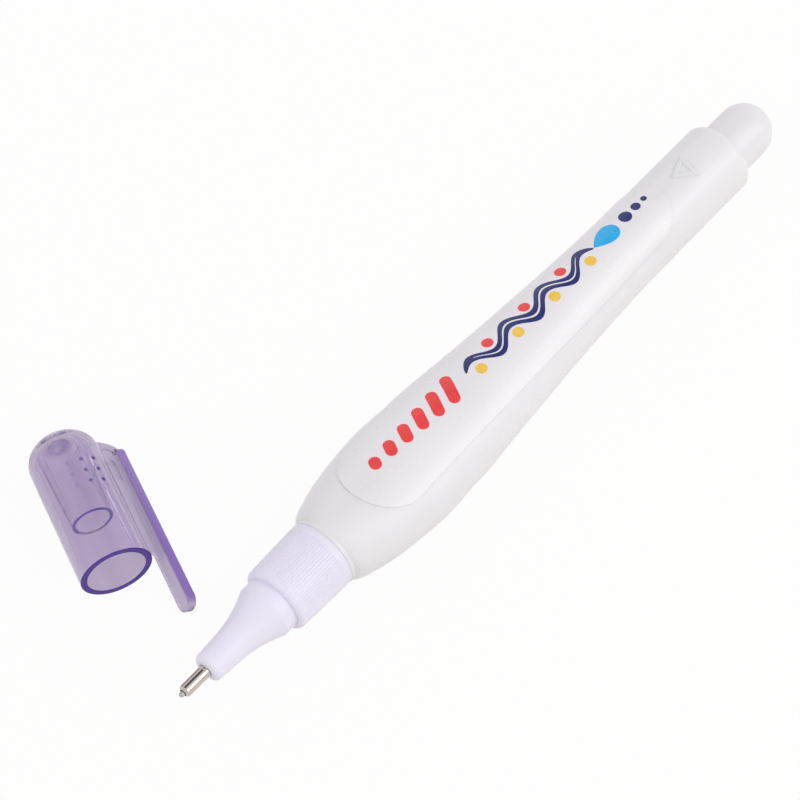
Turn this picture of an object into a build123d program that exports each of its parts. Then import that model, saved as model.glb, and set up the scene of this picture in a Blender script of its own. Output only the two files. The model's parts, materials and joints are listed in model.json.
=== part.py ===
from build123d import *
import math
import os

# A squeeze correction pen lying on a table, with its cap taken off and laid beside the tip.
# Millimetres. The pen is modelled along X with its bottle's front shoulder at x = 0, the tip towards -X
# and the tail towards +X. At the end everything moves to the middle of its footprint, table at z = 0.

# Bottle: belly, barrel and tail
WALL = 0.8                  # blown wall of the bottle
BELLY_HALF_WIDTH = 9.7      # sideways, at the widest station
BELLY_HALF_HEIGHT = 6.9     # upwards, at the widest station
BELLY_AT = 19.0             # widest station, behind the front shoulder
TAPER_LENGTH = 61.0         # from the widest station to the round barrel
BARREL_LENGTH = 17.5        # round barrel behind the taper
TAIL_LEDGE = 1.52           # barrel over the tail post
SHOULDER_FLAT = 0.12        # flat ring between the post and the barrel's rounded rear edge
POST_LENGTH = 5.8           # straight part of the tail post
FRONT_FULLNESS = 1.7        # 2 is an elliptic front swell, less is flatter
REAR_EASE = 0.75            # below 1 the taper falls early behind the belly
FRONT_STATIONS = 6          # loft spans from the front to the belly
REAR_STATIONS = 8           # loft spans from the belly to the barrel

# Bottle: front bead and neck
BEAD_PROUD = 0.05           # bead over the collar that stands against it
BEAD_THICKNESS = 0.75
BEAD_ROUND = 0.15           # rear edge of the bead
BEAD_FRONT_ROUND = 0.06     # edge that meets the collar
NECK_WALL = 1.0
NECK_LENGTH = 8.0
SNAP_HEIGHT = 0.3           # snap ring on the neck
SNAP_WIDTH = 1.2
SNAP_AT = 4.4               # middle of the snap ring, in front of the shoulder

# Nozzle, from its rear edge forwards
COLLAR_LENGTH = 11.13
COLLAR_LEDGE = 1.0          # front edge of the collar over the seat band
COLLAR_TAPER = 0.25         # radius gained towards the rear
COLLAR_WALL = 1.33          # around the neck, at the front
COLLAR_ROUND = 0.85         # front edge of the collar
COLLAR_REAR_ROUND = 0.06
COLLAR_LIP = 1.3            # smooth strip behind the ribs
COLLAR_STRIP = 0.1          # where the ribs start, on the round of the front edge
RIB_COUNT = 72
RIB_DEPTH = 0.08
RIB_GROOVE_SHARE = 0.5      # of the rib pitch
BAND_LENGTH = 2.25          # seat of the cap's mouth
BAND_ROUND = 0.8            # edge between the band and the flare
FLARE_LENGTH = 7.1
FLARE_SAG = 0.29            # hollow of the flare
SPOUT_LENGTH = 5.8
SPOUT_REAR_R = 2.75
SPOUT_TAPER = 0.27          # radius lost towards the front
SPOUT_ROUND = 0.9

# Valve
CHAMBER_R = 2.2
CHAMBER_LENGTH = 10.2       # from the seal's seat to the flange of the tip
NEEDLE_R = 0.43
NEEDLE_REACH = 0.8          # needle point in front of the tip tube
NEEDLE_TRAVEL = 0.6         # how far writing pushes the needle in
NEEDLE_HEAD_THICKNESS = 0.8
NEEDLE_STEM_R = 0.7
TIP_WALL = 0.45
TIP_LIP = 0.1               # flat ring at the tip's mouth, inside its chamfer
TIP_EXPOSED = 4.9
TIP_BEAD_PROUD = 0.12       # rolled bead of the tip against the spout
TIP_BEAD_LENGTH = 0.5
FLANGE_THICKNESS = 0.6
PLUG_LENGTH = 1.8
PLUG_SLOTS = 3
PLUG_SLOT_WIDTH = 0.9
PLUG_CORE_R = 1.0
SPRING_WIRE_R = 0.14
SPRING_TURNS = 6
SEAL_THICKNESS = 0.8
SEAL_HOLE_R = 1.7
BALL_R = 2.4

# Label film
LABEL_THICKNESS = 0.12
LABEL_FRONT_AT = 7.8        # behind the front shoulder
LABEL_LENGTH = 73.8
LABEL_FRONT_WIDTH = 14.4
LABEL_REAR_WIDTH = 10.8
LABEL_OFFSET = 0.5          # the film sits a little to the far side

# Cap, from its mouth to its closed end
CAP_BORE_R = 4.75
CAP_BORE_RUNOUT = 0.4       # straight bore past the tail post's straight part
CAP_WALL = 1.05             # at the mouth
CAP_TAPER = 0.1             # radius lost towards the closed end
CAP_CORNER = 4.4            # round closed end
CAP_NARROWING = 0.2         # radius that the bore loses from the seat to the closed end
CAP_NOSE_ROOM = 3.45        # past the needle's point when the cap is on
CAP_END_WALL = 1.1
CAP_INNER_CORNER = 3.2
CAP_RIM_ROUND = 0.15
SLEEVE_WALL = 0.5           # at the sleeve's rim
SLEEVE_ROOT_WALL = 1.0
SLEEVE_SETBACK = 0.1        # sleeve's rim to the foot of the flare when the cap is on
BOSS_LENGTH = 0.7           # low ring in the middle of the closed end
BOSS_R = 1.9
BOSS_HOLE_R = 0.85
CLIP_GAP = 2.65             # between the cap's mouth edge and the clip
CLIP_THICKNESS = 1.7
CLIP_ROOT_WIDTH = 3.25
CLIP_END_WIDTH = 3.55
CLIP_TOP_SETBACK = 3.6      # upper end of the clip below the closed end
CLIP_REACH = 8.5            # free end of the clip past the mouth
CLIP_CORNER = 0.8           # corners of the clip's upper end
CLIP_OUTER_ROUND = 0.6
CLIP_INNER_ROUND = 0.2
BRIDGE_WIDTH = 2.2
BRIDGE_SETBACK = 3.2        # underside of the bridge below the closed end
BRIDGE_FILLET = 1.7         # hollow between the bridge and the clip
BRIDGE_ROOT_AT = 1.6        # root of the bridge's top inside the body, below the closed end
BRIDGE_ROOT_OUT = 3.1       # the same root, from the cap's axis
BRIDGE_STEP = 0.3           # bridge over the clip's upper end
BRIDGE_HUMP = 0.62          # bow of the bridge's top
WEB_TOP_THICKNESS = 1.4
WEB_END_THICKNESS = 0.6
WEB_BODY_AT = 3.6           # lower end of the web at the body
WEB_CLIP_AT = 0.9           # lower end of the web at the clip
WEB_SAG = 0.3               # hollow of the web's lower end
RECESS_LENGTH = 4.3         # pocket in either side of the web
RECESS_WIDTH = 1.8
RECESS_AT = 18.1            # middle of the pocket, from the mouth
RECESS_OUT = 7.15           # middle of the pocket, from the cap's axis
RECESS_FLOOR = 0.5          # web left between the two pockets

# Fits
SEAT_CLEARANCE = 0.07       # cap bore over the seat band and over the tail post
NECK_CLEARANCE = 0.05       # collar bore over the neck
PRESS_CLEARANCE = 0.02      # tip and plug in the nozzle, per side
SLEEVE_CLEARANCE = 0.06     # cap sleeve over the spout
NEEDLE_CLEARANCE = 0.17     # needle in the tip tube, where the fluid runs
FLANGE_CLEARANCE = 0.25     # tip's flange in the chamber
HEAD_CLEARANCE = 0.6        # needle's head in the chamber
STEM_CLEARANCE = 0.31       # needle's stem inside the spring
STOP_CLEARANCE = 0.1        # stem to the plug when the needle is pushed in
VALVE_CLEARANCE = 0.05      # needle head to its seat at rest
BALL_CLEARANCE = 0.3        # ball to the bottle's wall
TABLE_CLEARANCE = 0.05      # clip to the table

# How the cap lies: mouth's place beside the needle's point, and its direction in degrees
CAP_FROM_POINT_X = 9.97
CAP_FROM_POINT_Y = 21.88
CAP_HEADING = 64.7          # closed end, turned from the pen's axis

# Radii that follow
SEAT_R = CAP_BORE_R - SEAT_CLEARANCE
BARREL_R = SEAT_R + TAIL_LEDGE
SHOULDER_ROUND = TAIL_LEDGE - SHOULDER_FLAT
COLLAR_FRONT_R = SEAT_R + COLLAR_LEDGE
COLLAR_REAR_R = COLLAR_FRONT_R + COLLAR_TAPER
NECK_R = COLLAR_FRONT_R - COLLAR_WALL - NECK_CLEARANCE
NECK_BORE_R = NECK_R - NECK_WALL
BEAD_R = COLLAR_REAR_R + BEAD_PROUD
SWELL_START_R = BEAD_R - BEAD_ROUND
SPOUT_FRONT_R = SPOUT_REAR_R - SPOUT_TAPER
TIP_BORE_R = NEEDLE_R + NEEDLE_CLEARANCE
TIP_R = TIP_BORE_R + TIP_WALL
FLANGE_R = CHAMBER_R - FLANGE_CLEARANCE
NEEDLE_HEAD_R = CHAMBER_R - HEAD_CLEARANCE
SPRING_R = NEEDLE_STEM_R + STEM_CLEARANCE + SPRING_WIRE_R
CAP_MOUTH_R = CAP_BORE_R + CAP_WALL
CAP_END_R = CAP_MOUTH_R - CAP_TAPER
SLEEVE_BORE_R = SPOUT_REAR_R + SLEEVE_CLEARANCE

# Places along the pen that follow
COLLAR_FRONT_X = -COLLAR_LENGTH
BAND_FRONT_X = COLLAR_FRONT_X - BAND_LENGTH
FLARE_FRONT_X = BAND_FRONT_X - FLARE_LENGTH
SPOUT_FRONT_X = FLARE_FRONT_X - SPOUT_LENGTH
TIP_FRONT_X = SPOUT_FRONT_X - TIP_EXPOSED
POINT_X = TIP_FRONT_X - NEEDLE_REACH
SEAL_SEAT_X = -NECK_LENGTH - SEAL_THICKNESS
FLANGE_FRONT_X = SEAL_SEAT_X - CHAMBER_LENGTH
FLANGE_REAR_X = FLANGE_FRONT_X + FLANGE_THICKNESS
HEAD_FRONT_X = FLANGE_REAR_X + VALVE_CLEARANCE
HEAD_REAR_X = HEAD_FRONT_X + NEEDLE_HEAD_THICKNESS
PLUG_FRONT_X = SEAL_SEAT_X - PLUG_LENGTH
STEM_END_X = PLUG_FRONT_X - NEEDLE_TRAVEL - STOP_CLEARANCE
BELLY_END = BELLY_AT + TAPER_LENGTH
SHOULDER_AT = BELLY_END + BARREL_LENGTH
POST_END_X = SHOULDER_AT + POST_LENGTH
BALL_DROP = BARREL_R - WALL - BALL_R - BALL_CLEARANCE
BALL_REST_X = SHOULDER_AT - WALL - BALL_R - BALL_CLEARANCE
TABLE_DROP = max(BELLY_HALF_HEIGHT, BARREL_R, BEAD_R)

# Places on the cap that follow, from its mouth and from its axis
CAP_LENGTH = COLLAR_FRONT_X - POINT_X + CAP_NOSE_ROOM + CAP_END_WALL
CAP_BORE_LENGTH = POST_LENGTH + CAP_BORE_RUNOUT
SLEEVE_AT = COLLAR_FRONT_X - FLARE_FRONT_X + SLEEVE_SETBACK
CLIP_TOP_AT = CAP_LENGTH - CLIP_TOP_SETBACK
CLIP_INNER_Y = CAP_MOUTH_R + CLIP_GAP
CLIP_OUTER_Y = CLIP_INNER_Y + CLIP_THICKNESS


def turned(*edges):
    """Solid of revolution about X of a closed outline of edges above the axis."""
    return revolve(make_face(edges), Axis.X, 360)


def turned_polygon(*points):
    return turned(Polyline(*points, close=True))


def tube(x_from, x_to, outer_r, inner_r):
    return turned_polygon((x_from, inner_r), (x_to, inner_r), (x_to, outer_r), (x_from, outer_r))


def rod(x_from, x_to, radius):
    return tube(x_from, x_to, radius, 0)


def quarter(start, corner, end):
    """Quarter round from start to end, swept inside the corner between them."""
    centre = Vector(start) + Vector(end) - Vector(corner)
    middle = centre + (Vector(corner) - centre) / math.sqrt(2)
    return ThreePointArc(start, middle, end)


def belly_sections(inset):
    """Ellipses from the front of the belly to the barrel, drawn in from the outer skin by inset."""
    front_x = BEAD_THICKNESS - BEAD_ROUND + inset
    sections = []
    for i in range(FRONT_STATIONS):
        angle = math.radians(90 - 90 * i / FRONT_STATIONS)
        reach = math.sin(angle) ** (2 / FRONT_FULLNESS)
        swell = math.cos(angle) ** (2 / FRONT_FULLNESS)
        station_x = BELLY_AT - (BELLY_AT - front_x) * reach
        half_width = SWELL_START_R + (BELLY_HALF_WIDTH - SWELL_START_R) * swell
        half_height = SWELL_START_R + (BELLY_HALF_HEIGHT - SWELL_START_R) * swell
        sections.append((station_x, half_width - inset, half_height - inset))
    for i in range(REAR_STATIONS + 1):
        along = i / REAR_STATIONS
        swell = 0.5 + 0.5 * math.cos(math.pi * along ** REAR_EASE)
        station_x = BELLY_AT + (BELLY_END - BELLY_AT) * along
        half_width = BARREL_R + (BELLY_HALF_WIDTH - BARREL_R) * swell
        half_height = BARREL_R + (BELLY_HALF_HEIGHT - BARREL_R) * swell
        sections.append((station_x, half_width - inset, half_height - inset))
    return sections


def belly(inset):
    faces = []
    for station_x, half_width, half_height in belly_sections(inset):
        plane = Plane(origin=(station_x, 0, 0), x_dir=(0, 1, 0), z_dir=(1, 0, 0))
        faces.append(plane * Ellipse(half_width, half_height))
    return loft(faces)


def tail(inset):
    """Barrel, rounded shoulder and domed post behind the belly, drawn in by inset."""
    barrel_r = BARREL_R - inset
    post_r = SEAT_R - inset
    shoulder_x = SHOULDER_AT - inset
    edge_x = shoulder_x - SHOULDER_ROUND
    edge_r = barrel_r - SHOULDER_ROUND
    dome_middle = (POST_END_X + post_r * math.sin(math.pi / 4), post_r * math.cos(math.pi / 4))
    return turned(
        Polyline((POST_END_X + post_r, 0), (BELLY_END, 0), (BELLY_END, barrel_r), (edge_x, barrel_r)),
        quarter((edge_x, barrel_r), (shoulder_x, barrel_r), (shoulder_x, edge_r)),
        Polyline((shoulder_x, edge_r), (shoulder_x, post_r), (POST_END_X, post_r)),
        ThreePointArc((POST_END_X, post_r), dome_middle, (POST_END_X + post_r, 0)),
    )


def snap_ring(radius, clearance):
    """Triangular ring around the neck, or its groove when given a clearance."""
    half = SNAP_WIDTH / 2 + clearance
    return turned_polygon(
        (-SNAP_AT - half, 0), (-SNAP_AT + half, 0), (-SNAP_AT + half, radius),
        (-SNAP_AT, radius + SNAP_HEIGHT + clearance), (-SNAP_AT - half, radius),
    )


def make_bottle():
    bead_side = BEAD_R - BEAD_ROUND
    bead_rear = BEAD_THICKNESS - BEAD_ROUND
    bead = turned(
        Polyline((BEAD_THICKNESS, bead_side), (BEAD_THICKNESS, 0), (0, 0), (0, BEAD_R - BEAD_FRONT_ROUND)),
        quarter((0, BEAD_R - BEAD_FRONT_ROUND), (0, BEAD_R), (BEAD_FRONT_ROUND, BEAD_R)),
        Line((BEAD_FRONT_ROUND, BEAD_R), (bead_rear, BEAD_R)),
        quarter((bead_rear, BEAD_R), (BEAD_THICKNESS, BEAD_R), (BEAD_THICKNESS, bead_side)),
    )
    neck = rod(-NECK_LENGTH, 0, NECK_R) + snap_ring(NECK_R, 0)
    skin = belly(0) + tail(0) + bead + neck
    bore = rod(-NECK_LENGTH, BEAD_THICKNESS + 2 * WALL, NECK_BORE_R)
    return skin - (belly(WALL) + tail(WALL) + bore)


def make_label():
    """Thin film over the upper side of the belly and barrel, with round ends."""
    film = loft_skin(LABEL_THICKNESS) - loft_skin(0)
    front_r = LABEL_FRONT_WIDTH / 2
    rear_r = LABEL_REAR_WIDTH / 2
    front_x = LABEL_FRONT_AT + front_r
    rear_x = LABEL_FRONT_AT + LABEL_LENGTH - rear_r
    outline = make_face([
        Line((front_x, -front_r), (rear_x, -rear_r)),
        ThreePointArc((rear_x, -rear_r), (rear_x + rear_r, 0), (rear_x, rear_r)),
        Line((rear_x, rear_r), (front_x, front_r)),
        ThreePointArc((front_x, front_r), (front_x - front_r, 0), (front_x, -front_r)),
    ])
    blank = extrude(Pos(0, LABEL_OFFSET, 0) * outline, BELLY_HALF_HEIGHT + BARREL_R)
    return film & blank


def loft_skin(outset):
    return belly(-outset) + rod(BELLY_END, SHOULDER_AT - SHOULDER_ROUND, BARREL_R + outset)


def make_nozzle():
    bore_r = NECK_R + NECK_CLEARANCE
    tip_bore = TIP_R + PRESS_CLEARANCE
    lip_r = COLLAR_REAR_R - COLLAR_REAR_ROUND
    strip_x = COLLAR_FRONT_X + COLLAR_ROUND
    flare_start = (FLARE_FRONT_X, SPOUT_REAR_R)
    body = turned(
        Polyline((SPOUT_FRONT_X, SPOUT_FRONT_R - SPOUT_ROUND), (SPOUT_FRONT_X, tip_bore),
                 (FLANGE_FRONT_X, tip_bore), (FLANGE_FRONT_X, CHAMBER_R), (SEAL_SEAT_X, CHAMBER_R),
                 (SEAL_SEAT_X, bore_r), (0, bore_r), (0, lip_r)),
        quarter((0, lip_r), (0, COLLAR_REAR_R), (-COLLAR_REAR_ROUND, COLLAR_REAR_R)),
        Polyline((-COLLAR_REAR_ROUND, COLLAR_REAR_R), (-COLLAR_LIP, COLLAR_REAR_R),
                 (strip_x, COLLAR_FRONT_R)),
        quarter((strip_x, COLLAR_FRONT_R), (COLLAR_FRONT_X, COLLAR_FRONT_R),
                (COLLAR_FRONT_X, COLLAR_FRONT_R - COLLAR_ROUND)),
        Polyline((COLLAR_FRONT_X, COLLAR_FRONT_R - COLLAR_ROUND), (COLLAR_FRONT_X, SEAT_R),
                 (BAND_FRONT_X, SEAT_R)),
        SagittaArc(flare_start, (BAND_FRONT_X, SEAT_R), -FLARE_SAG),
        Line(flare_start, (SPOUT_FRONT_X + SPOUT_ROUND, SPOUT_FRONT_R)),
        quarter((SPOUT_FRONT_X + SPOUT_ROUND, SPOUT_FRONT_R), (SPOUT_FRONT_X, SPOUT_FRONT_R),
                (SPOUT_FRONT_X, SPOUT_FRONT_R - SPOUT_ROUND)),
    )
    rings = body.edges().filter_by(GeomType.CIRCLE)
    band_edge = rings.filter_by_position(Axis.X, BAND_FRONT_X - SEAT_CLEARANCE, BAND_FRONT_X + SEAT_CLEARANCE)
    body = fillet(band_edge, BAND_ROUND)
    return body - snap_ring(bore_r, NECK_CLEARANCE) - rib_grooves()


def rib_grooves():
    """V grooves between the fine grip ribs, following the collar's taper."""
    rear_x = -COLLAR_LIP
    front_x = COLLAR_FRONT_X + COLLAR_STRIP
    half = math.pi * COLLAR_FRONT_R / RIB_COUNT * RIB_GROOVE_SHARE
    grooves = []
    for i in range(RIB_COUNT):
        ends = []
        for station_x, radius in ((front_x, COLLAR_FRONT_R), (rear_x, COLLAR_REAR_R)):
            plane = Plane(origin=(station_x, 0, 0), x_dir=(0, 1, 0), z_dir=(1, 0, 0))
            notch = Polyline((-half, radius + RIB_DEPTH), (0, radius - RIB_DEPTH), (half, radius + RIB_DEPTH),
                             close=True)
            ends.append(plane * make_face(notch))
        grooves.append(Rot(360 * i / RIB_COUNT, 0, 0) * loft(ends, ruled=True))
    return grooves


def make_seal():
    return tube(SEAL_SEAT_X, -NECK_LENGTH, NECK_R, SEAL_HOLE_R)


def make_tip():
    chamfer = TIP_WALL - TIP_LIP
    bead_r = TIP_R + TIP_BEAD_PROUD
    bead_front_x = SPOUT_FRONT_X - TIP_BEAD_LENGTH
    return turned_polygon(
        (TIP_FRONT_X, TIP_BORE_R), (FLANGE_REAR_X, TIP_BORE_R), (FLANGE_REAR_X, FLANGE_R),
        (FLANGE_FRONT_X, FLANGE_R), (FLANGE_FRONT_X, TIP_R), (SPOUT_FRONT_X, TIP_R), (SPOUT_FRONT_X, bead_r),
        (bead_front_x + TIP_BEAD_PROUD, bead_r), (bead_front_x, TIP_R), (TIP_FRONT_X + chamfer, TIP_R),
        (TIP_FRONT_X, TIP_R - chamfer),
    )


def make_needle():
    round_x = POINT_X + NEEDLE_R
    point_middle = (round_x - NEEDLE_R * math.sin(math.pi / 4), NEEDLE_R * math.cos(math.pi / 4))
    return turned(
        ThreePointArc((POINT_X, 0), point_middle, (round_x, NEEDLE_R)),
        Polyline((round_x, NEEDLE_R), (HEAD_FRONT_X, NEEDLE_R), (HEAD_FRONT_X, NEEDLE_HEAD_R),
                 (HEAD_REAR_X, NEEDLE_HEAD_R), (HEAD_REAR_X, NEEDLE_STEM_R), (STEM_END_X, NEEDLE_STEM_R),
                 (STEM_END_X, 0), (POINT_X, 0)),
    )


def make_spring():
    """Open coil between the needle's head and the plug."""
    length = PLUG_FRONT_X - HEAD_REAR_X - 2 * SPRING_WIRE_R
    path = Helix(pitch=length / SPRING_TURNS, height=length, radius=SPRING_R)
    start = path @ 0
    section = Plane(origin=start, z_dir=path % 0) * Circle(SPRING_WIRE_R)
    coil = sweep(section, path, is_frenet=True)
    print("spring: gap between turns", round(length / SPRING_TURNS - 2 * SPRING_WIRE_R, 3))
    return Pos(HEAD_REAR_X + SPRING_WIRE_R, 0, 0) * Rot(0, 90, 0) * coil


def make_plug():
    plug = rod(PLUG_FRONT_X, SEAL_SEAT_X, CHAMBER_R - PRESS_CLEARANCE)
    slot = Pos(PLUG_FRONT_X + PLUG_LENGTH / 2, 0, PLUG_CORE_R + CHAMBER_R / 2)
    slot = slot * Box(2 * PLUG_LENGTH, PLUG_SLOT_WIDTH, CHAMBER_R)
    for i in range(PLUG_SLOTS):
        plug -= Rot(360 * i / PLUG_SLOTS, 0, 0) * slot
    return plug


def make_ball():
    return Pos(BALL_REST_X, 0, -BALL_DROP) * Sphere(BALL_R)


def make_cap():
    """Cap along X from its mouth at x = 0, with the clip towards -Y."""
    corner_x = CAP_LENGTH - CAP_CORNER
    end_r = CAP_END_R - CAP_CORNER
    shell = turned(
        Polyline((0, CAP_MOUTH_R - CAP_RIM_ROUND), (0, 0), (CAP_LENGTH, 0), (CAP_LENGTH, end_r)),
        quarter((CAP_LENGTH, end_r), (CAP_LENGTH, CAP_END_R), (corner_x, CAP_END_R)),
        Line((corner_x, CAP_END_R), (CAP_RIM_ROUND, CAP_MOUTH_R)),
        quarter((CAP_RIM_ROUND, CAP_MOUTH_R), (0, CAP_MOUTH_R), (0, CAP_MOUTH_R - CAP_RIM_ROUND)),
    )
    floor_x = CAP_LENGTH - CAP_END_WALL
    inner_r = CAP_BORE_R - CAP_NARROWING
    inner_end_r = inner_r - CAP_INNER_CORNER
    hollow = turned(
        Polyline((floor_x, inner_end_r), (floor_x, 0), (0, 0), (0, CAP_BORE_R), (CAP_BORE_LENGTH, CAP_BORE_R),
                 (floor_x - CAP_INNER_CORNER, inner_r)),
        quarter((floor_x - CAP_INNER_CORNER, inner_r), (floor_x, inner_r), (floor_x, inner_end_r)),
    )
    sleeve = turned_polygon(
        (SLEEVE_AT, SLEEVE_BORE_R), (floor_x, SLEEVE_BORE_R), (floor_x, SLEEVE_BORE_R + SLEEVE_ROOT_WALL),
        (SLEEVE_AT, SLEEVE_BORE_R + SLEEVE_WALL),
    )
    boss = tube(floor_x - BOSS_LENGTH, floor_x, BOSS_R, BOSS_HOLE_R)
    return shell + make_clip() - hollow + sleeve + boss


def make_clip():
    """Flat clip, the bridge at its upper end and the web that braces it, all towards -Y."""
    return make_bar() + make_bridge() + make_web()


def make_bar():
    """Plate of the clip, a little wider towards its round free end, with rounded edges."""
    root = CLIP_ROOT_WIDTH / 2
    end = CLIP_END_WIDTH / 2
    end_x = end - CLIP_REACH
    corner_x = CLIP_TOP_AT - CLIP_CORNER
    corner_z = root - CLIP_CORNER
    plan = make_face([
        Line((end_x, -end), (corner_x, -root)),
        quarter((corner_x, -root), (CLIP_TOP_AT, -root), (CLIP_TOP_AT, -corner_z)),
        Line((CLIP_TOP_AT, -corner_z), (CLIP_TOP_AT, corner_z)),
        quarter((CLIP_TOP_AT, corner_z), (CLIP_TOP_AT, root), (corner_x, root)),
        Line((corner_x, root), (end_x, end)),
        ThreePointArc((end_x, end), (-CLIP_REACH, 0), (end_x, -end)),
    ])
    bar = Pos(0, -CLIP_INNER_Y, 0) * extrude(Plane.XZ * plan, CLIP_THICKNESS)
    bar = fillet(bar.faces().sort_by(Axis.Y)[0].edges(), CLIP_OUTER_ROUND)
    return fillet(bar.faces().sort_by(Axis.Y)[-1].edges(), CLIP_INNER_ROUND)


def make_bridge():
    """Arm from the cap's closed end to the clip, bowed on top and hollowed into the clip below."""
    under_x = CAP_LENGTH - BRIDGE_SETBACK
    root_x = CAP_LENGTH - BRIDGE_ROOT_AT
    hollow_x = under_x - BRIDGE_FILLET
    hollow_y = BRIDGE_FILLET - CLIP_INNER_Y
    inside_y = -CLIP_INNER_Y - CLIP_OUTER_ROUND
    root_y = -BRIDGE_ROOT_OUT
    step_x = CLIP_TOP_AT + BRIDGE_STEP
    outline = make_face([
        Polyline((root_x, root_y), (under_x, root_y), (under_x, hollow_y)),
        quarter((under_x, hollow_y), (under_x, -CLIP_INNER_Y), (hollow_x, -CLIP_INNER_Y)),
        Polyline((hollow_x, -CLIP_INNER_Y), (hollow_x, inside_y), (step_x, inside_y)),
        SagittaArc((step_x, inside_y), (root_x, root_y), -BRIDGE_HUMP),
    ])
    return extrude(outline, BRIDGE_WIDTH / 2, both=True)


def make_web():
    """Thin web under the bridge that thins towards its lower end, with a pocket in either side."""
    inside_y = -CLIP_INNER_Y - CLIP_OUTER_ROUND
    top_x = CAP_LENGTH - BRIDGE_SETBACK
    outline = make_face([
        Polyline((WEB_CLIP_AT, -CLIP_INNER_Y), (WEB_CLIP_AT, inside_y), (top_x, inside_y), (top_x, 0),
                 (WEB_BODY_AT, 0), (WEB_BODY_AT, -CAP_MOUTH_R)),
        SagittaArc((WEB_BODY_AT, -CAP_MOUTH_R), (WEB_CLIP_AT, -CLIP_INNER_Y), WEB_SAG),
    ])
    top = WEB_TOP_THICKNESS / 2
    end = WEB_END_THICKNESS / 2
    draft = make_face(Polyline((WEB_CLIP_AT, -end), (top_x, -top), (top_x, top), (WEB_CLIP_AT, end),
                               close=True))
    web = extrude(outline, WEB_TOP_THICKNESS, both=True) & extrude(Plane.XZ * draft, CLIP_OUTER_Y)
    for side in (1, -1):
        middle = side * (RECESS_FLOOR + WEB_TOP_THICKNESS) / 2
        pocket = extrude(SlotOverall(RECESS_LENGTH, RECESS_WIDTH), WEB_TOP_THICKNESS / 2, both=True)
        web -= Pos(RECESS_AT, -RECESS_OUT, middle) * pocket
    return web


def cap_place():
    """From the cap's own axes to where it lies beside the tip, rolled until its clip rests on the table."""
    edge_y = CLIP_OUTER_Y - CLIP_OUTER_ROUND
    edge_z = CLIP_END_WIDTH / 2 - CLIP_OUTER_ROUND
    rest_height = CAP_MOUTH_R - TABLE_CLEARANCE - CLIP_OUTER_ROUND
    roll = math.asin(rest_height / math.hypot(edge_y, edge_z)) - math.atan2(edge_z, edge_y)
    place = Pos(POINT_X + CAP_FROM_POINT_X, CAP_FROM_POINT_Y, CAP_MOUTH_R - TABLE_DROP)
    return place * Rot(0, 0, CAP_HEADING) * Rot(math.degrees(roll), 0, 0)


def make_pieces():
    pieces = {
        "squeeze_bottle": make_bottle(),
        "label": make_label(),
        "nozzle": make_nozzle(),
        "neck_seal": make_seal(),
        "metal_tip": make_tip(),
        "valve_needle": make_needle(),
        "valve_spring": make_spring(),
        "spring_plug": make_plug(),
        "mixing_ball": make_ball(),
        "cap": cap_place() * make_cap(),
    }
    return pieces


def footprint_shift(pieces):
    """Move that brings the middle of the footprint to the origin and the table to z = 0."""
    box = Compound(children=[Compound([piece]) for piece in pieces.values()]).bounding_box()
    return Vector(-(box.min.X + box.max.X) / 2, -(box.min.Y + box.max.Y) / 2, -box.min.Z)


pieces = make_pieces()
shift = footprint_shift(pieces)
print("footprint shift", [round(value, 4) for value in shift])
os.makedirs("parts", exist_ok=True)
for name, piece in pieces.items():
    export_step(Pos(*shift) * piece, f"parts/{name}.step")
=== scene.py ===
"""Looks of a squeeze correction pen that lies on a table, with its clear cap beside the tip."""
import json
import math

import bmesh
import bpy
from mathutils import Matrix, Vector
from mathutils.bvhtree import BVHTree


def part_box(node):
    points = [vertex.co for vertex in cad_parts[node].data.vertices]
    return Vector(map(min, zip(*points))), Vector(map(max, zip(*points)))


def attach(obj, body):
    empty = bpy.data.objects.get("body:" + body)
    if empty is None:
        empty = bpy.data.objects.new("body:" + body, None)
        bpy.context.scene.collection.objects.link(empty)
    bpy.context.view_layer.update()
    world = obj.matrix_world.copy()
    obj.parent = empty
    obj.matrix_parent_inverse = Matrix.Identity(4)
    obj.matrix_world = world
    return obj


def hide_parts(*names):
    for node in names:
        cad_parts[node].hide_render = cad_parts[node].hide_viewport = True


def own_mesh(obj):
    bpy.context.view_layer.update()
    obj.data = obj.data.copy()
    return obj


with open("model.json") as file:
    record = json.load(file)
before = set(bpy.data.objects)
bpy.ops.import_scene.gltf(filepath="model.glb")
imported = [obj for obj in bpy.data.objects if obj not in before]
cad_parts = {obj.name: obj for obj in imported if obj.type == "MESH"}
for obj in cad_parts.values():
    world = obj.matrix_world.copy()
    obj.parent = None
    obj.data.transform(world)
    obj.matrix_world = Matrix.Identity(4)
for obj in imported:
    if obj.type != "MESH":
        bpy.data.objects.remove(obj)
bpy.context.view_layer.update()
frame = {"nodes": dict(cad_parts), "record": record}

MM = 0.001
UP = Vector((0.0, 0.0, 1.0))
CROSSWISE = Vector((0.0, 1.0, 0.0))    # across the pen
WHITE = (1.0, 1.0, 1.0)

# Camera of the photograph: it looks down on the table, along a heading from the tip towards the tail
CAMERA_TARGET = Vector((-6.32, -6.32, 0.0)) * MM
CAMERA_HEADING = math.radians(40.46)
CAMERA_ELEVATION = math.radians(57.5)
CAMERA_DISTANCE = 598.7 * MM
CAMERA_LENS = 172.35
CAMERA_SENSOR = 36.0
CAMERA_CLIP_START = 10.0 * MM

# Floor
FLOOR_HALF = 1.5
FLOOR_LOW = (0.76, 0.72, 0.66)
FLOOR_HIGH = (0.78, 0.74, 0.68)
FLOOR_CLOUDS = 6.0         # waves per metre
FLOOR_ROUGHNESS = 0.9
FLOOR_WHITE = 0.955        # share of plain white in the floor that is seen; the rest is its lit paper
FLOOR_PAINTED_SHADE = (0.485, 0.435, 0.52)    # painted shade: behind clear plastic the floor shows this purple-grey in place of its white, standing for the cap's shadow on it
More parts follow.
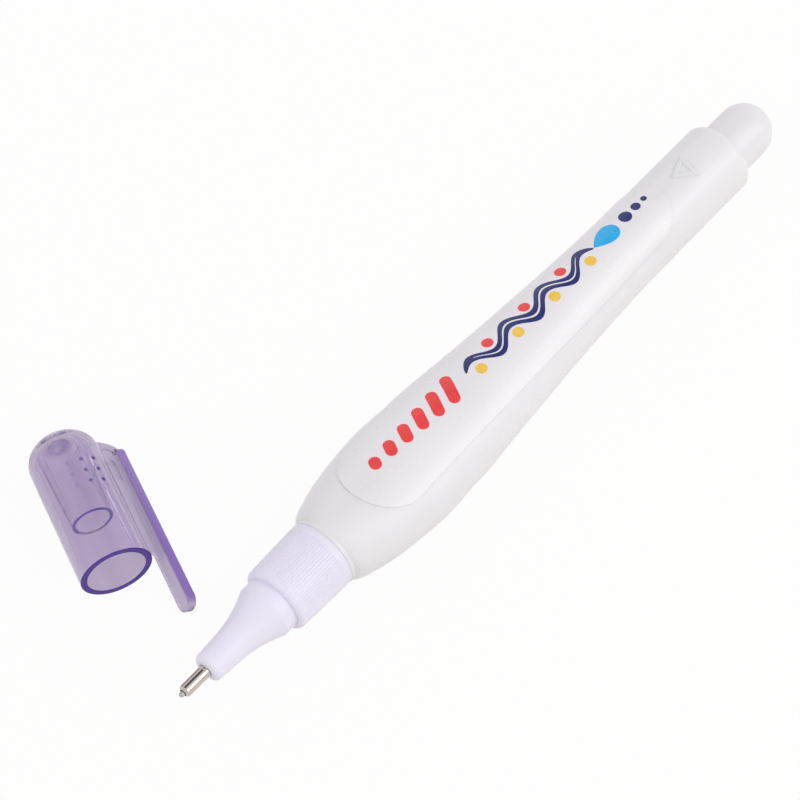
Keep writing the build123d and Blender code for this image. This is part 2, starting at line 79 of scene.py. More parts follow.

# White tent all around, which dims towards a gap overhead
SKY_STRENGTH = 0.90
SKY_TINT = (0.985, 0.98, 1.0)
SKY_GAP = Vector((0.41, 0.35, 0.84))
SKY_GAP_EDGES = (0.92, 0.98)    # cosines of the angles from the gap where the tent starts to dim and is dim
SKY_GAP_LEVEL = 0.1

# Softboxes, aimed at the middle of the table
KEY_PLACE = Vector((0.41, -0.65, 0.62))
KEY_SIZE = (0.5, 0.62)
KEY_POWER = 2.4
KEY_TINT = (1.0, 0.975, 0.94)
FRONT_PLACE = Vector((-0.55, 0.35, 0.5))
FRONT_SIZE = (0.5, 0.5)
FRONT_POWER = 0.35

# Moulded plastic: waves per metre of its cloudiness and its gloss
PLASTIC_CLOUDS = 90.0
PLASTIC_GLOSS_WAVES = 400.0
PLASTIC_IOR = 1.5

# Steel: fine streaks, stretched along the pen
STREAK_WAVES = 9000.0
STREAK_STRETCH = (0.06, 1.0, 1.0)

# Ink: waves per metre of its cloudiness and its gloss
INK_CLOUDS = 900.0
INK_GLOSS_WAVES = 500.0
INK_GLOSS = (0.24, 0.36)

# Cap plastic: how far the ring in its closed end, its sleeve, wall and mouth reach from its axis
RING_REACH = 2.1 * MM
SLEEVE_REACH = 3.9 * MM
WALL_REACH = 4.4 * MM
RIM_REACH = 6.3 * MM
RIM_FADE = 0.12 * MM
SLEEVE_RIM_SHADE_HEIGHTS = (-3.5 * MM, -1.6 * MM)    # height from the axis: the painted shade on the sleeve's rim is pale below, deep above
SLEEVE_GRAZING = (0.6, 1.0)             # how far a face turns aside, where the painted shade on it starts and is full
END_WALL = 1.1 * MM
END_FADE = (2.2 * MM, 0.6 * MM)         # the closed end's painted light and shade, a pale haze, starts and is full this far from its crown
CLIP_SIDE = (1.1 * MM, 1.72 * MM)       # from the clip's middle plane: where the painted shade on its side starts and is full

# Cap plastic: the most that the painted shade of the clip and the ring, and the painted light and shade of
# the closed end, come to
CLIP_SHARE = 0.43
END_SHARE = 0.75
RING_SHARE = 0.7

# Cap plastic: colours of its clear walls, then of its edges: the plastic's own purple, deepened by painted
# shade on rims, edges and the clip, and made pale by painted light on the closed end
SLEEVE_TINT = (0.99, 0.97, 1.0)
WALL_TINT = (0.93, 0.87, 0.99)
CLIP_PAINTED_SHADE = (0.40, 0.31, 0.52)
END_PAINTED_LIGHT_AND_SHADE = (0.68, 0.57, 0.85)
CLIP_SIDE_PAINTED_SHADE = (0.26, 0.16, 0.50)
SLEEVE_SIDE_PAINTED_SHADE = (0.16, 0.06, 0.50)
RING_PAINTED_SHADE = (0.42, 0.30, 0.80)
SLEEVE_RIM_PAINTED_SHADE = (0.10, 0.025, 0.45)
MOUTH_RIM_PAINTED_SHADE = (0.055, 0.003, 0.30)

# Cap plastic: what passes through it, and its polish
CAP_TRANSMISSION = (0.95, 0.2)          # in the clear, and on a full edge
CAP_IOR = 1.33
CAP_GLOSS = (0.015, 0.05)
CAP_GLOSS_WAVES = 350.0
CAP_WAVES = 220.0
CAP_WAVE_DEPTH = 0.02 * MM
CAP_LETS_THROUGH = (0.3, 0.0, 0.725, 1.0)
CAP_DENSITY = 25.0

# Moulded pips on the cap: rows run up from the mouth, columns turn from the top towards the clip
PIP_ROWS = (10.2 * MM, 12.25 * MM, 14.3 * MM)
PIP_TURNS = tuple(math.radians(turn) for turn in (-6.5, 15.6, 37.9))
PIP_RADIUS = 0.34 * MM
PIP_HEIGHT = 0.2 * MM
PIP_SEGMENTS = 12
PIP_RINGS = 8
PIP_SHADE_SIDES = (-0.7 * MM, 3.4 * MM)    # from the cap's axis towards the clip: where the pips' painted shade is light and full
PIP_PALE = (0.50, 0.42, 0.72)
PIP_PAINTED_SHADE = (0.13, 0.05, 0.40)
PIP_CLOUDS = 1500.0
PIP_CLOUD_SHARE = 0.15
PIP_GLOSS = (0.05, 0.15)
PIP_GLOSS_WAVES = 900.0
PIP_TRANSMISSION = 0.5
PIP_IOR = 1.49

# Shapes laid on a skin: rays to it start this far off, and points closer than the merges are one
RAY_START = 1.0
FLAT_MERGE = 0.002 * MM
SKIN_MERGE = 0.0001 * MM

# Print on the film: places run back from the film's front end and across from the print's middle line
film_low, film_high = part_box("label")
FILM_FRONT = film_low[0]
PRINT_ACROSS = 1.1 * MM
PRINT_MIDDLE = (film_low[1] + film_high[1]) / 2 + PRINT_ACROSS
INK_THICKNESS = 0.06 * MM
INK_PROUD = 0.03 * MM
WHITE_INK_PROUD = INK_PROUD + INK_THICKNESS / 3    # it lies over the navy
STROKE_CUTS = 6            # faces across a stroke
BAR_STEPS = 20             # faces along a bar, disc or drop
WAVE_STEPS = 120           # faces along the wavy ribbon
STROKE_COUNT = 6
STROKE_FIRST_AT = 6.2 * MM
STROKE_PITCH = 3.5 * MM
STROKE_WIDTH = 1.9 * MM
STROKE_SHORTEST = 2.4 * MM
STROKE_LONGEST = 5.6 * MM
STROKE_LEAN = math.radians(62.0)
WAVE_START = 27.5 * MM
WAVE_LENGTH = 31.0 * MM
WAVE_HEIGHT = 1.25 * MM
WAVE_COUNT = 3.5
WAVE_HALF_WIDTH = 1.15 * MM
WAVE_BLUNTNESS = 0.35      # power of the sine that narrows its ends
WAVE_LINE_HALF_WIDTH = 0.17 * MM
WAVE_LINE_INSET = 3.0 * MM
BAY_DOT_RADIUS = 0.95 * MM
BAY_DOT_GAP = 0.4 * MM
DROP_START = 58.6 * MM
DROP_LENGTH = 5.6 * MM
DROP_HALF_WIDTH = 1.75 * MM
TRAIL_RADII = (1.1 * MM, 0.8 * MM, 0.52 * MM)
TRAIL_START = 65.4 * MM
TRAIL_GAP = 0.7 * MM

# Moulded triangle near the tail: its middle lies ahead of the bottle's rear end
TRIANGLE_FROM_END = 20.46 * MM
TRIANGLE_ACROSS = 0.33 * MM
TRIANGLE_RADIUS = 2.95 * MM
TRIANGLE_CORNER = 0.45 * MM
TRIANGLE_HOLLOW_RADIUS = 1.1 * MM
TRIANGLE_HOLLOW_CORNER = 0.15 * MM
TRIANGLE_CORNER_STEPS = 3
TRIANGLE_CUTS = 3
TRIANGLE_PROUD = 0.2 * MM
TRIANGLE_EDGE_PROUD = 0.02 * MM
TRIANGLE_DEPTH = 0.3 * MM
TRIANGLE_HEADING = math.radians(171.0)    # of its first corner, nearly towards the tip


# Shader building blocks

def new_material(name):
    """New material, its node tree and its main shader."""
    material = bpy.data.materials.new(name)
    material.use_nodes = True
    tree = material.node_tree
    return material, tree, tree.nodes["Principled BSDF"]


def add_node(tree, kind, **settings):
    """Node with its plain settings and the values of its inputs, by name or number."""
    node = tree.nodes.new(kind)
    for key, value in settings.items():
        if key == "inputs":
            for socket, content in value.items():
                node.inputs[socket].default_value = content
        else:
            setattr(node, key, value)
    return node


def object_coords(tree):
    return add_node(tree, "ShaderNodeTexCoord").outputs["Object"]


def noise(tree, coords, waves, detail=3.0):
    """Noise with this many waves per metre."""
    node = add_node(tree, "ShaderNodeTexNoise", inputs={"Scale": waves, "Detail": detail})
    tree.links.new(coords, node.inputs["Vector"])
    return node.outputs["Fac"]


def ramp(tree, factor, low, high, start=0.0, end=1.0):
    """Blend from one colour to another as the factor goes from start to end."""
    node = add_node(tree, "ShaderNodeValToRGB")
    node.color_ramp.elements[0].position = start
    node.color_ramp.elements[1].position = end
    node.color_ramp.elements[0].color = (*low, 1.0)
    node.color_ramp.elements[1].color = (*high, 1.0)
    tree.links.new(factor, node.inputs["Fac"])
    return node.outputs["Color"]


def cloudy(tree, coords, waves, low, high):
    """Soft clouds of two colours: noise keeps to the middle of its range, so the blend does too."""
    return ramp(tree, noise(tree, coords, waves), low, high, start=0.3, end=0.7)


def spread(tree, factor, low, high):
    """Number from low to high as the factor goes from 0 to 1."""
    node = add_node(tree, "ShaderNodeMapRange", inputs={"To Min": low, "To Max": high})
    tree.links.new(factor, node.inputs["Value"])
    return node.outputs["Result"]


def rise(tree, value, start, end):
    """Share that goes from 0 to 1 as the value goes from start to end."""
    node = add_node(tree, "ShaderNodeMapRange", inputs={"From Min": start, "From Max": end})
    tree.links.new(value, node.inputs["Value"])
    return node.outputs["Result"]


def uneven_gloss(tree, coords, shader, waves, gloss):
    """Roughness that wanders between two values."""
    tree.links.new(spread(tree, noise(tree, coords, waves), *gloss), shader.inputs["Roughness"])


def wavy_skin(tree, coords, shader, waves, depth):
    """Broad shallow waves in the skin."""
    node = add_node(tree, "ShaderNodeBump", inputs={"Strength": 1.0, "Distance": depth})
    tree.links.new(noise(tree, coords, waves, detail=1.0), node.inputs["Height"])
    tree.links.new(node.outputs["Normal"], shader.inputs["Normal"])


def math_step(tree, operation, *terms):
    """One step of reckoning with numbers, each a socket or a plain value."""
    node = add_node(tree, "ShaderNodeMath", operation=operation)
    for socket, term in zip(node.inputs, terms):
        if isinstance(term, float):
            socket.default_value = term
        else:
            tree.links.new(term, socket)
    return node.outputs["Value"]


def vector_step(tree, operation, first, second=None):
    """One step of reckoning with vectors, the second of them a plain one."""
    node = add_node(tree, "ShaderNodeVectorMath", operation=operation)
    tree.links.new(first, node.inputs[0])
    if second is not None:
        node.inputs[1].default_value = second
    return node.outputs["Value" if operation in ("LENGTH", "DOT_PRODUCT") else "Vector"]


def mix_colour(tree, share, first, second):
    """Colour between a socket's and a plain one. The node's colour sockets are told apart by number only."""
    node = add_node(tree, "ShaderNodeMix", data_type="RGBA", inputs={7: (*second, 1.0)})
    tree.links.new(share, node.inputs[0])
    tree.links.new(first, node.inputs[6])
    return node.outputs[2]


# Finishes of the pen

def moulded_plastic(name, low, high, gloss, waves, wave_depth, subsurface=0.0,
                    radius=(1.0, 1.0, 1.0)):
    """Moulded plastic with a faint cloudiness, a soft gloss that varies and a slightly wavy skin."""
    material, tree, shader = new_material(name)
    coords = object_coords(tree)
    tree.links.new(cloudy(tree, coords, PLASTIC_CLOUDS, low, high), shader.inputs["Base Color"])
    uneven_gloss(tree, coords, shader, PLASTIC_GLOSS_WAVES, gloss)
    wavy_skin(tree, coords, shader, waves, wave_depth)
    shader.inputs["Subsurface Weight"].default_value = subsurface
    shader.inputs["Subsurface Radius"].default_value = radius
    shader.inputs["Subsurface Scale"].default_value = MM
    shader.inputs["IOR"].default_value = PLASTIC_IOR
    return material


def bottle_plastic():
    return moulded_plastic("bottle_plastic", low=(0.785, 0.77, 0.79), high=(0.815, 0.80, 0.82),
                           gloss=(0.30, 0.38), waves=70.0, wave_depth=0.04 * MM,
                           subsurface=0.25, radius=(1.6, 1.3, 1.1))


def film_plastic():
    return moulded_plastic("label_film", low=(0.79, 0.775, 0.795), high=(0.815, 0.80, 0.82),
                           gloss=(0.24, 0.32), waves=70.0, wave_depth=0.04 * MM)


def nozzle_plastic():
    return moulded_plastic("nozzle_plastic", low=(0.79, 0.765, 0.89), high=(0.82, 0.795, 0.925),
                           gloss=(0.40, 0.50), waves=160.0, wave_depth=0.01 * MM,
                           subsurface=0.25, radius=(1.2, 1.1, 1.3))


def plug_plastic():
    return moulded_plastic("plug_plastic", low=(0.80, 0.80, 0.79), high=(0.84, 0.84, 0.83),
                           gloss=(0.4, 0.5), waves=160.0, wave_depth=0.01 * MM, subsurface=0.1)


def seal_rubber():
    return moulded_plastic("seal_rubber", low=(0.70, 0.70, 0.68), high=(0.76, 0.76, 0.74),
                           gloss=(0.55, 0.7), waves=300.0, wave_depth=0.02 * MM)


def streaked_steel(name, low, high, gloss):
    """Drawn wire and tube with fine lengthwise streaks."""
    material, tree, shader = new_material(name)
    stretch = add_node(tree, "ShaderNodeMapping", inputs={"Scale": STREAK_STRETCH})
    tree.links.new(object_coords(tree), stretch.inputs["Vector"])
    coords = stretch.outputs["Vector"]
    tree.links.new(cloudy(tree, coords, STREAK_WAVES, low, high), shader.inputs["Base Color"])
    uneven_gloss(tree, coords, shader, STREAK_WAVES, gloss)
    shader.inputs["Metallic"].default_value = 1.0
    return material


def tip_steel():
    return streaked_steel("tip_steel", low=(0.54, 0.48, 0.44), high=(0.62, 0.56, 0.52), gloss=(0.10, 0.18))


def needle_steel():
    return streaked_steel("needle_steel", low=(0.48, 0.47, 0.46), high=(0.56, 0.55, 0.54), gloss=(0.42, 0.52))


def spring_steel():
    return streaked_steel("spring_steel", low=(0.55, 0.55, 0.55), high=(0.66, 0.66, 0.66), gloss=(0.22, 0.34))


def print_ink(name, low, high):
    """Thin glossy ink, a little uneven in its colour and its gloss."""
    material, tree, shader = new_material(name)
    coords = object_coords(tree)
    tree.links.new(cloudy(tree, coords, INK_CLOUDS, low, high), shader.inputs["Base Color"])
    uneven_gloss(tree, coords, shader, INK_GLOSS_WAVES, INK_GLOSS)
    return material


# Finish of the cap: shares are 1 on an edge painted deep purple, the plastic's own colour deepened as painted
# shade, and 0 where the plastic is clear

def mount(name):
    """Place and direction of a mount in the record."""
    entry = next(each for each in frame["record"]["mounts"] if each["name"] == name)
    return Vector(entry["pos_m"]), Vector(entry["axis"])


def towards_clip():
    """Level direction from the cap's axis towards the side that its clip is on."""
    return -mount("cap_mouth")[1].cross(UP)


def cap_depths(reach):
    """Depths of the cap's points within this reach of its axis, behind the middle of its bore."""
    place, axis = mount("cap_mouth")
    points = [vert.co - place for vert in frame["nodes"]["cap"].data.vertices]
    return [-point.dot(axis) for point in points if point.cross(axis).length < reach]


def cap_apart(tree, coords):
    """Offset from the middle of the cap's bore, and distance from the cap's axis."""
    place, axis = mount("cap_mouth")
    apart = vector_step(tree, "SUBTRACT", coords, place)
    return apart, vector_step(tree, "LENGTH", vector_step(tree, "CROSS_PRODUCT", apart, axis))


def cap_depth(tree, apart):
    """Depth behind the middle of the cap's bore."""
    return vector_step(tree, "DOT_PRODUCT", apart, -mount("cap_mouth")[1])


def outward_only(tree, share):
    """The share on faces seen from outside, and 0 where they are seen through the plastic."""
    inside = add_node(tree, "ShaderNodeNewGeometry").outputs["Backfacing"]
    return math_step(tree, "MULTIPLY", share, math_step(tree, "SUBTRACT", 1.0, inside))


def within(tree, reach, limit):
    """Share on what lies within this limit of the cap's axis."""
    return rise(tree, reach, limit + RIM_FADE, limit)


def rim_share(tree, apart, reach, limit):
    """Share of painted shade on the front end of what lies within this limit of the cap's axis."""
    from_rim = math_step(tree, "SUBTRACT", cap_depth(tree, apart), min(cap_depths(limit)))
    off_rim = math_step(tree, "ABSOLUTE", from_rim)
    on_rim = rise(tree, off_rim, RIM_FADE, RIM_FADE / 2)
    return outward_only(tree, math_step(tree, "MULTIPLY", on_rim, within(tree, reach, limit)))


def sleeve_rim_share(tree, apart, reach):
    """Share of painted shade on the sleeve's front end, which pales towards its lowest part."""
    height = vector_step(tree, "DOT_PRODUCT", apart, UP)
    return math_step(tree, "MULTIPLY", rim_share(tree, apart, reach, SLEEVE_REACH),
                     rise(tree, height, *SLEEVE_RIM_SHADE_HEIGHTS))


def sleeve_side_share(tree, apart, reach):
    """Share of painted shade that grows on the sleeve where it is seen along its wall."""
    aside = add_node(tree, "ShaderNodeLayerWeight").outputs["Facing"]
    end = max(cap_depths(RIM_REACH)) - END_WALL
    before_end = rise(tree, cap_depth(tree, apart), end, end - END_WALL)
    on_sleeve = math_step(tree, "MULTIPLY", before_end, within(tree, reach, SLEEVE_REACH))
    return outward_only(tree, math_step(tree, "MULTIPLY", rise(tree, aside, *SLEEVE_GRAZING), on_sleeve))


def closed_end_share(tree, apart):
    """Share of painted light and shade that grows towards the closed end of the cap."""
    crown = max(cap_depths(RIM_REACH))
    start, full = END_FADE
    return outward_only(tree, rise(tree, cap_depth(tree, apart), crown - start, crown - full))


def clip_share(tree, reach):
    """Share of painted shade on the clip, its bridge and its web."""
    return outward_only(tree, rise(tree, reach, RIM_REACH, RIM_REACH + RIM_FADE))


def clip_side_share(tree, apart, reach):
    """Share of painted shade on the sides of the clip, which fades over their rounded edges."""
    side = mount("cap_mouth")[1].cross(mount("pocket_clip")[1]).normalized()
    sideways = math_step(tree, "ABSOLUTE", vector_step(tree, "DOT_PRODUCT", apart, side))
    return math_step(tree, "MULTIPLY", clip_share(tree, reach), rise(tree, sideways, *CLIP_SIDE))


def cap_painted_edges(tree, apart, reach):
    """Share and colour of each kind of painted edge, the later ones over the earlier: purple shade, and pale
    light and shade on the closed end.
    """
    clip = math_step(tree, "MULTIPLY", clip_share(tree, reach), CLIP_SHARE)
    end = math_step(tree, "MULTIPLY", closed_end_share(tree, apart), END_SHARE)
    ring = math_step(tree, "MULTIPLY", rim_share(tree, apart, reach, RING_REACH), RING_SHARE)
    return ((clip, CLIP_PAINTED_SHADE),
            (end, END_PAINTED_LIGHT_AND_SHADE),
            (clip_side_share(tree, apart, reach), CLIP_SIDE_PAINTED_SHADE),
            (sleeve_side_share(tree, apart, reach), SLEEVE_SIDE_PAINTED_SHADE),
            (ring, RING_PAINTED_SHADE),
            (sleeve_rim_share(tree, apart, reach), SLEEVE_RIM_PAINTED_SHADE),
            (rim_share(tree, apart, reach, RIM_REACH), MOUTH_RIM_PAINTED_SHADE))


def cap_plastic():
    """Polished clear plastic with a breath of haze, and painted shade: deep purple on its rims and on the
    clip's sides.
    """
    material, tree, shader = new_material("cap_plastic")
    coords = object_coords(tree)
    apart, reach = cap_apart(tree, coords)
    tint = ramp(tree, rise(tree, reach, SLEEVE_REACH, WALL_REACH), SLEEVE_TINT, WALL_TINT)
    solid = 0.0
    # the edges' painted shade and light lie over the plastic's own tint and make it less clear there
    for share, colour in cap_painted_edges(tree, apart, reach):
        tint = mix_colour(tree, share, tint, colour)
        solid = math_step(tree, "MAXIMUM", share, solid)
    tree.links.new(tint, shader.inputs["Base Color"])
    tree.links.new(spread(tree, solid, *CAP_TRANSMISSION), shader.inputs["Transmission Weight"])
    shader.inputs["IOR"].default_value = CAP_IOR
    uneven_gloss(tree, coords, shader, CAP_GLOSS_WAVES, CAP_GLOSS)
    wavy_skin(tree, coords, shader, CAP_WAVES, CAP_WAVE_DEPTH)
    depth = add_node(tree, "ShaderNodeVolumeAbsorption",
                     inputs={"Color": CAP_LETS_THROUGH, "Density": CAP_DENSITY})
    tree.links.new(depth.outputs["Volume"], tree.nodes["Material Output"].inputs["Volume"])
    return material


def pip_plastic():
    """The same plastic where it stands up in small pips, with painted shade that deepens towards the clip."""
    material, tree, shader = new_material("pip_plastic")
    coords = object_coords(tree)
    apart, _ = cap_apart(tree, coords)
    sideways = vector_step(tree, "DOT_PRODUCT", apart, towards_clip())
    clouds = spread(tree, noise(tree, coords, PIP_CLOUDS), -PIP_CLOUD_SHARE, PIP_CLOUD_SHARE)
    # painted shade: the pips darken towards the clip
    share = math_step(tree, "ADD", rise(tree, sideways, *PIP_SHADE_SIDES), clouds)
    tree.links.new(ramp(tree, share, PIP_PALE, PIP_PAINTED_SHADE), shader.inputs["Base Color"])
    uneven_gloss(tree, coords, shader, PIP_GLOSS_WAVES, PIP_GLOSS)
    shader.inputs["Transmission Weight"].default_value = PIP_TRANSMISSION
    shader.inputs["IOR"].default_value = PIP_IOR
    return material


# Shapes laid on the skin of a piece

def link_mesh(name, bm, material):
    """Object at the origin with this mesh and material."""
    mesh = bpy.data.meshes.new(name)
    bm.to_mesh(mesh)
    bm.free()
    piece = bpy.data.objects.new(name, mesh)
    bpy.context.scene.collection.objects.link(piece)
    mesh.materials.append(material)
    return piece


def skin_of(node):
    """Search tree of a piece's outer and inner skin."""
    bm = bmesh.new()
    bm.from_mesh(frame["nodes"][node].data)
    skin = BVHTree.FromBMesh(bm)
    bm.free()
    return skin


def lay_down(bm, skin, proud, edge_proud, thickness):
    """Lower a flat shape onto the skin below it and give it a closed wall that stands a little proud."""
    bmesh.ops.remove_doubles(bm, verts=bm.verts[:], dist=FLAT_MERGE)
    for vert in bm.verts:
        above = Vector((vert.co.x, vert.co.y, RAY_START))
        place, normal, _, _ = skin.ray_cast(above, -UP)
        vert.co = place + normal * (edge_proud if vert.is_boundary else proud)
    bmesh.ops.recalc_face_normals(bm, faces=bm.faces[:])
    bmesh.ops.solidify(bm, geom=bm.faces[:], thickness=thickness)
    bmesh.ops.recalc_face_normals(bm, faces=bm.faces[:])


# Print on the film

def film_place(back, across=0.0):
    """Place in plan on the film."""
    return Vector((FILM_FRONT + back, PRINT_MIDDLE + across, 0.0))


def add_stroke(bm, steps, middle, across, half_width):
    """Flat stroke along a middle line. Middle and half width are given by the share of the way along it."""
    grid = bmesh.ops.create_grid(bm, x_segments=steps, y_segments=STROKE_CUTS, size=1.0)
    for vert in grid["verts"]:
        share = (1.0 - math.cos(math.pi * (vert.co.x + 1.0) / 2)) / 2
        vert.co = middle(share) + across * (vert.co.y * half_width(share))


def add_round_bar(bm, centre, length, width, heading):
    """Flat bar with round ends."""
    along = Vector((math.cos(heading), math.sin(heading), 0.0))
    across = Vector((-along.y, along.x, 0.0))
    radius = width / 2

    def middle(share):
        return centre + along * ((share - 0.5) * length)

    def half_width(share):
        from_end = min(min(share, 1.0 - share) * length / radius, 1.0)
        return radius * math.sqrt(max(0.0, 1.0 - (1.0 - from_end) ** 2))

    add_stroke(bm, BAR_STEPS, middle, across, half_width)


def add_disc(bm, centre, radius):
    add_round_bar(bm, centre, 2 * radius, 2 * radius, 0.0)


def add_leaning_strokes(bm):
    """Row of leaning strokes that grow towards the tail."""
    for index in range(STROKE_COUNT):
        share = index / (STROKE_COUNT - 1)
        length = STROKE_SHORTEST + share * (STROKE_LONGEST - STROKE_SHORTEST)
        centre = film_place(STROKE_FIRST_AT + index * STROKE_PITCH)
        add_round_bar(bm, centre, length, STROKE_WIDTH, STROKE_LEAN)


def wave_middle(share):
    """Place on the wave's middle line."""
    return film_place(WAVE_START + share * WAVE_LENGTH,
                      WAVE_HEIGHT * math.sin(2 * math.pi * WAVE_COUNT * share))


def add_wave(bm, widest, inset):
    """Wavy ribbon that runs out to a point at both ends."""
    start = inset / WAVE_LENGTH

    def middle(share):
        return wave_middle(start + share * (1.0 - 2 * start))

    def half_width(share):
        return widest * math.sin(math.pi * share) ** WAVE_BLUNTNESS

    add_stroke(bm, WAVE_STEPS, middle, CROSSWISE, half_width)


def add_bay_dots(bm, first_bay):
    """Discs in every second bay of the wave, on the inner side of the bend."""
    bends = int(2 * WAVE_COUNT)
    for index in range(first_bay, bends, 2):
        bend = wave_middle((index + 0.5) / bends)
        inward = 1.0 if bend.y < PRINT_MIDDLE else -1.0
        bend.y += inward * (WAVE_HALF_WIDTH + BAY_DOT_GAP + BAY_DOT_RADIUS)
        add_disc(bm, bend, BAY_DOT_RADIUS)


def add_drop(bm):
    """Drop with its point towards the tip."""
    fullest = (2 / 3) * math.sqrt(1 / 3)    # of the curve below, two thirds of the way along

    def middle(share):
        return film_place(DROP_START + share * DROP_LENGTH)

    def half_width(share):
        return DROP_HALF_WIDTH * share * math.sqrt(max(0.0, 1.0 - share)) / fullest

    add_stroke(bm, BAR_STEPS, middle, CROSSWISE, half_width)


def add_trail(bm):
    """Row of discs that shrink towards the tail."""
    back = TRAIL_START
    for radius in TRAIL_RADII:
        add_disc(bm, film_place(back + radius), radius)
        back += 2 * radius + TRAIL_GAP


def finish_print(name, bm, material, proud=INK_PROUD):
    """Lay one ink's shapes on the film, as a piece of the pen."""
    lay_down(bm, skin_of("label"), proud, proud, INK_THICKNESS)
    piece = link_mesh(name, bm, material)
    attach(piece, "pen")


def make_red_print():
    bm = bmesh.new()
    add_leaning_strokes(bm)
    add_bay_dots(bm, 1)
    ink = print_ink("ink_red", low=(0.80, 0.055, 0.06), high=(0.86, 0.075, 0.075))
    finish_print("print_red", bm, ink)


def make_navy_print():
    bm = bmesh.new()
    add_wave(bm, WAVE_HALF_WIDTH, 0.0)
    add_trail(bm)
    ink = print_ink("ink_navy", low=(0.022, 0.027, 0.14), high=(0.03, 0.036, 0.17))
    finish_print("print_navy", bm, ink)


def make_yellow_print():
    bm = bmesh.new()
    add_bay_dots(bm, 0)
    ink = print_ink("ink_yellow", low=(0.86, 0.54, 0.085), high=(0.92, 0.60, 0.11))
    finish_print("print_yellow", bm, ink)


def make_cyan_print():
    bm = bmesh.new()
    add_drop(bm)
    ink = print_ink("ink_cyan", low=(0.02, 0.40, 0.78), high=(0.03, 0.45, 0.84))
    finish_print("print_cyan", bm, ink)


def make_white_print():
    """Thin line along the middle of the navy wave."""
    bm = bmesh.new()
    add_wave(bm, WAVE_LINE_HALF_WIDTH, WAVE_LINE_INSET)
    ink = print_ink("ink_white", low=(0.76, 0.76, 0.77), high=(0.80, 0.80, 0.81))
    finish_print("print_white", bm, ink, proud=WHITE_INK_PROUD)


# Small mouldings and the coil

def make_triangle(material):
    """Low moulded triangle with a hollow middle, near the tail."""
    low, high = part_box("squeeze_bottle")
    middle = (low[1] + high[1]) / 2
    place = Matrix.Translation((high[0] - TRIANGLE_FROM_END, middle + TRIANGLE_ACROSS, 0.0))
    turn = Matrix.Rotation(TRIANGLE_HEADING - math.pi / 2, 4, "Z")
    outlines = ((TRIANGLE_RADIUS, TRIANGLE_CORNER), (TRIANGLE_HOLLOW_RADIUS, TRIANGLE_HOLLOW_CORNER))
    bm = bmesh.new()
    for radius, corner in outlines:
        outline = bmesh.ops.create_circle(bm, cap_ends=True, radius=radius, segments=3, matrix=place @ turn)
        bmesh.ops.bevel(bm, geom=outline["verts"], offset=corner, segments=TRIANGLE_CORNER_STEPS,
                        profile=0.5, affect="VERTICES", material=-1)
    bmesh.ops.delete(bm, geom=bm.faces[:], context="FACES_ONLY")
    bmesh.ops.bridge_loops(bm, edges=bm.edges[:])
    bmesh.ops.subdivide_edges(bm, edges=bm.edges[:], cuts=TRIANGLE_CUTS, use_grid_fill=True)
    lay_down(bm, skin_of("squeeze_bottle"), TRIANGLE_PROUD, TRIANGLE_EDGE_PROUD, TRIANGLE_DEPTH)
    piece = link_mesh("tail_triangle", bm, material)
    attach(piece, "pen")


def make_pips(material):
    """Low round pips on the cap's skin, in rows and columns."""
    place, mouth_axis = mount("cap_mouth")
    flatten = Matrix.Diagonal((1.0, 1.0, PIP_HEIGHT / PIP_RADIUS, 1.0))
    skin = skin_of("cap")
    bm = bmesh.new()
    for row in PIP_ROWS:
        for turn in PIP_TURNS:
            outward = UP * math.cos(turn) + towards_clip() * math.sin(turn)
            outside = place - mouth_axis * row + outward * RAY_START
            point, normal, _, _ = skin.ray_cast(outside, -outward)
            seat = Matrix.Translation(point) @ normal.to_track_quat("Z", "Y").to_matrix().to_4x4()
            bmesh.ops.create_uvsphere(bm, u_segments=PIP_SEGMENTS, v_segments=PIP_RINGS,
                                      radius=PIP_RADIUS, matrix=seat @ flatten)
    piece = link_mesh("cap_pips", bm, material)
    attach(piece, "loose_cap")


def make_spring(material):
    """Copy of the valve spring's coil, as a piece of the pen; the plain coil is hidden."""
    bm = bmesh.new()
    bm.from_mesh(frame["nodes"]["valve_spring"].data)
    bmesh.ops.remove_doubles(bm, verts=bm.verts[:], dist=SKIN_MERGE)
    bmesh.ops.recalc_face_normals(bm, faces=bm.faces[:])
    piece = link_mesh("needle_spring", bm, material)
    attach(piece, "pen")
    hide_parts("valve_spring")
    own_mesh(piece)


def dress(material, *nodes):
    """New finish on pieces that keep their shape."""
    for node in nodes:
        materials = frame["nodes"][node].data.materials
        materials.clear()
        materials.append(material)


# Stage

def floor_paper():
    """Pale floor that keeps its shadow: nearly white to see and in mirrors; behind clear plastic it shows a
    painted purple-grey shade.
    """
    material, tree, shader = new_material("floor_white")
    coords = object_coords(tree)
    tree.links.new(cloudy(tree, coords, FLOOR_CLOUDS, FLOOR_LOW, FLOOR_HIGH), shader.inputs["Base Color"])
    shader.inputs["Roughness"].default_value = FLOOR_ROUGHNESS
    path = add_node(tree, "ShaderNodeLightPath")
    through = path.outputs["Is Transmission Ray"]
    plain = add_node(tree, "ShaderNodeEmission", inputs={"Strength": 1.0})
    # behind clear plastic the floor shows painted shade, a purple-grey in place of its white
    tree.links.new(ramp(tree, through, WHITE, FLOOR_PAINTED_SHADE), plain.inputs["Color"])
    seen = path.outputs["Is Camera Ray"]
    for ray in (path.outputs["Is Glossy Ray"], through):
        seen = math_step(tree, "MAXIMUM", seen, ray)
    mix = add_node(tree, "ShaderNodeMixShader")
    tree.links.new(math_step(tree, "MULTIPLY", seen, FLOOR_WHITE), mix.inputs["Fac"])
    tree.links.new(shader.outputs["BSDF"], mix.inputs[1])
    tree.links.new(plain.outputs["Emission"], mix.inputs[2])
    tree.links.new(mix.outputs["Shader"], tree.nodes["Material Output"].inputs["Surface"])
    return material


def make_floor():
    bm = bmesh.new()
    bmesh.ops.create_grid(bm, x_segments=1, y_segments=1, size=FLOOR_HALF)
    link_mesh("floor", bm, floor_paper())


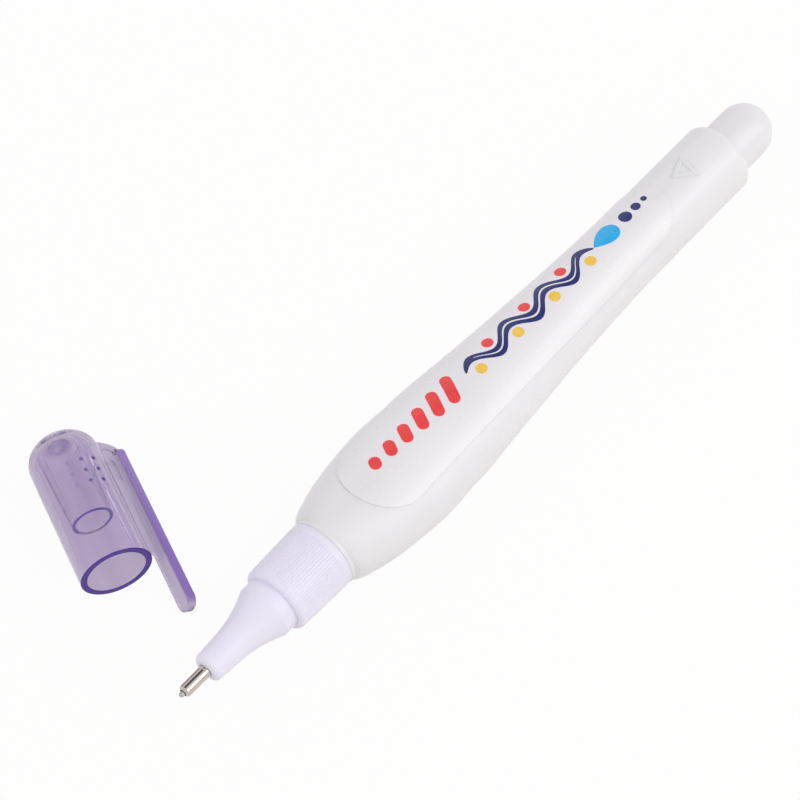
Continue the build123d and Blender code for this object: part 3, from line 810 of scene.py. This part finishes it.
def make_camera():
    """Camera of the photograph."""
    data = bpy.data.cameras.new("camera")
    data.sensor_width = CAMERA_SENSOR
    data.sensor_fit = "HORIZONTAL"
    data.lens = CAMERA_LENS
    data.clip_start = CAMERA_CLIP_START
    camera = bpy.data.objects.new("camera", data)
    bpy.context.scene.collection.objects.link(camera)
    back = Vector((-math.cos(CAMERA_HEADING) * math.cos(CAMERA_ELEVATION),
                   -math.sin(CAMERA_HEADING) * math.cos(CAMERA_ELEVATION),
                   math.sin(CAMERA_ELEVATION)))
    camera.location = CAMERA_TARGET + back * CAMERA_DISTANCE
    camera.rotation_euler = (-back).to_track_quat("-Z", "Y").to_euler()
    bpy.context.scene.camera = camera


def make_sky():
    """White tent all around. The steel tip mirrors its dim gap as a dark line."""
    world = bpy.data.worlds.new("studio")
    bpy.context.scene.world = world
    world.use_nodes = True
    tree = world.node_tree
    direction = add_node(tree, "ShaderNodeTexCoord").outputs["Generated"]
    towards_gap = vector_step(tree, "DOT_PRODUCT", direction, SKY_GAP.normalized())
    dim = tuple(SKY_GAP_LEVEL * share for share in SKY_TINT)
    background = tree.nodes["Background"]
    tree.links.new(ramp(tree, towards_gap, SKY_TINT, dim, *SKY_GAP_EDGES), background.inputs["Color"])
    background.inputs["Strength"].default_value = SKY_STRENGTH


def add_softbox(name, place, size, power, tint):
    """Rectangular lamp that faces the middle of the table."""
    data = bpy.data.lights.new(name, "AREA")
    data.color = tint
    data.shape = "RECTANGLE"
    data.size, data.size_y = size
    data.energy = power
    lamp = bpy.data.objects.new(name, data)
    bpy.context.scene.collection.objects.link(lamp)
    lamp.location = place
    lamp.rotation_euler = (-place).to_track_quat("-Z", "Y").to_euler()


bottle_white = bottle_plastic()
coil_steel = spring_steel()
dress(bottle_white, "squeeze_bottle")
dress(film_plastic(), "label")
dress(nozzle_plastic(), "nozzle")
dress(seal_rubber(), "neck_seal")
dress(plug_plastic(), "spring_plug")
dress(tip_steel(), "metal_tip")
dress(needle_steel(), "valve_needle")
dress(coil_steel, "valve_spring", "mixing_ball")
dress(cap_plastic(), "cap")

make_red_print()
make_navy_print()
make_yellow_print()
make_cyan_print()
make_white_print()
make_triangle(bottle_white)
make_pips(pip_plastic())
make_spring(coil_steel)

make_floor()
make_camera()
make_sky()
add_softbox("softbox_near", KEY_PLACE, KEY_SIZE, KEY_POWER, KEY_TINT)
add_softbox("softbox_front", FRONT_PLACE, FRONT_SIZE, FRONT_POWER, SKY_TINT)
bpy.context.scene.view_settings.view_transform = "Standard"
